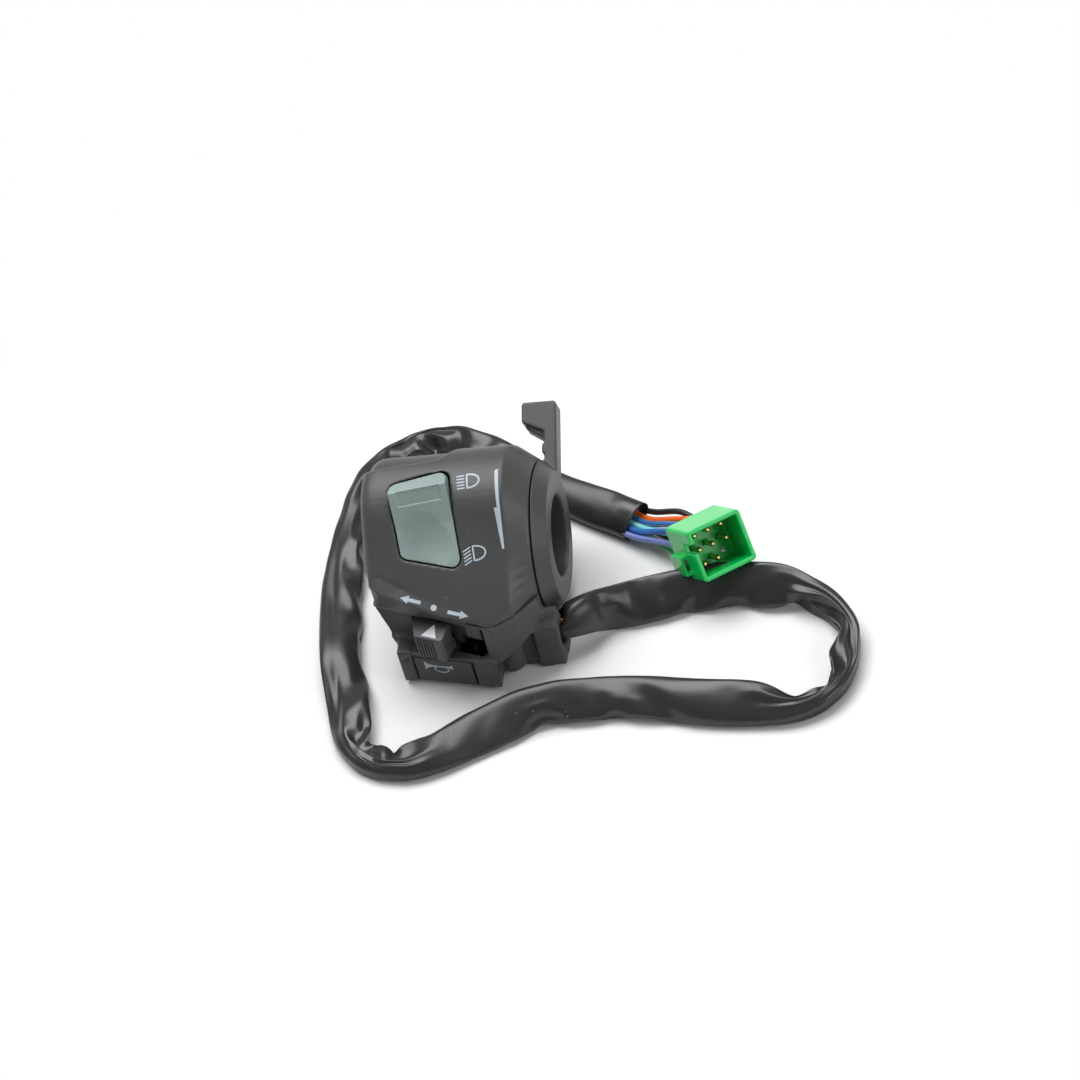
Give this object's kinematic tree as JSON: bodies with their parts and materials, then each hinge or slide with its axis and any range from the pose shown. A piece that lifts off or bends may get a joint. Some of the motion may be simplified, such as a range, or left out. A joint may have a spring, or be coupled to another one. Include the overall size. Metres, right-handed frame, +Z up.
{
  "type": "handlebar switch cluster",
  "caption": "Two-part handlebar switch housing with lights rocker, turn slide, horn button, choke ring lever and a looped wiring harness with connector.",
  "frame": {"origin": "on the handlebar axis, at the middle of the moulded saddle", "axes": "+X along the bar towards the middle of the handlebar, where the choke ring is; -Y towards the rider; +Z up"},
  "size_m": [0.1636, 0.1445, 0.0556],
  "materials": {
    "housing_black": "fine moulded grain, satin black",
    "lever_black": "satin black",
    "knob_black": "satin black",
    "rocker_grey_green": "smooth grey-green",
    "zinc_steel": "zinc plated",
    "spring_steel": "drawn wire",
    "contact_brass": "stamped brass",
    "bakelite_brown": "dark moulded insulator",
    "natural_nylon": "natural nylon",
    "sleeve_pvc": "soft wrinkled PVC",
    "wire_black": "PVC insulation",
    "wire_orange": "PVC insulation",
    "wire_striped": "PVC insulation, blue with a yellow stripe",
    "wire_cyan": "PVC insulation",
    "wire_blue": "PVC insulation",
    "wire_violet": "PVC insulation",
    "wire_brown": "PVC insulation",
    "wire_green": "PVC insulation",
    "lead_tan": "PVC insulation",
    "connector_green": "glossy green nylon"
  },
  "bodies": {
    "housing": {"upper_housing": "housing_black", "lower_housing": "housing_black", "clamp_screws": "zinc_steel", "dimmer_contacts": "contact_brass", "dimmer_base": "bakelite_brown", "dimmer_screws": "zinc_steel", "turn_base": "bakelite_brown", "turn_contacts": "contact_brass", "turn_screws": "zinc_steel", "horn_base": "bakelite_brown", "horn_spring": "spring_steel", "horn_terminal": "contact_brass", "horn_screws": "zinc_steel", "harness_sleeve": "sleeve_pvc", "wire_black": "wire_black", "wire_orange": "wire_orange", "wire_striped": "wire_striped", "wire_cyan": "wire_cyan", "wire_blue": "wire_blue", "wire_violet": "wire_violet", "wire_brown": "wire_brown", "wire_green": "wire_green", "inner_leads": "lead_tan", "connector_housing": "connector_green", "connector_pins": "contact_brass"},
    "choke": {"choke_lever": "lever_black"},
    "rocker": {"dimmer_rocker": "rocker_grey_green", "dimmer_pivot_pins": "zinc_steel", "dimmer_plunger": "natural_nylon", "dimmer_spring": "spring_steel"},
    "bridge": {"dimmer_bridge": "contact_brass"},
    "carriage": {"turn_carriage": "knob_black", "turn_wiper": "contact_brass", "turn_detent_ball": "spring_steel", "turn_detent_spring": "spring_steel", "turn_return_spring": "spring_steel"},
    "knob": {"turn_knob": "knob_black"},
    "horn": {"horn_button": "knob_black", "horn_disc": "contact_brass"}
  },
  "joints": [
    {"name": "choke_turn", "type": "hinge", "parent": "housing", "child": "choke", "pos_m": [0.0295, 0, 0], "axis": [1, 0, 0], "range_deg": [0, 70]},
    {"name": "dimmer_rock", "type": "hinge", "parent": "housing", "child": "rocker", "pos_m": [-0.00169, -0.01039, 0.0186], "axis": [0.9938, 0.0788, 0.0788], "range_deg": [-12, 0]},
    {"name": "bridge_tilt", "type": "hinge", "parent": "housing", "child": "bridge", "pos_m": [-0.00169, -0.00731, 0.01553], "axis": [0.9938, 0.0788, 0.0788], "range_deg": [0, 12]},
    {"name": "turn_slide", "type": "slide", "parent": "housing", "child": "carriage", "axis": [0.9397, -0.342, 0], "range_m": [-0.005, 0.005]},
    {"name": "turn_cancel", "type": "slide", "parent": "carriage", "child": "knob", "axis": [0.342, 0.9397, 0], "range_m": [0, 0.0009], "stiffness_N_per_m": 400, "springref_m": -0.0005, "deforming": ["turn_return_spring"]},
    {"name": "horn_press", "type": "slide", "parent": "housing", "child": "horn", "axis": [0.2198, 0.9755, 0], "range_m": [0, 0.002], "stiffness_N_per_m": 500, "springref_m": -0.0005, "deforming": ["horn_spring"]}
  ],
  "couplings": [
    {"joint": "bridge_tilt", "follows": "dimmer_rock", "ratio": -1}
  ]
}
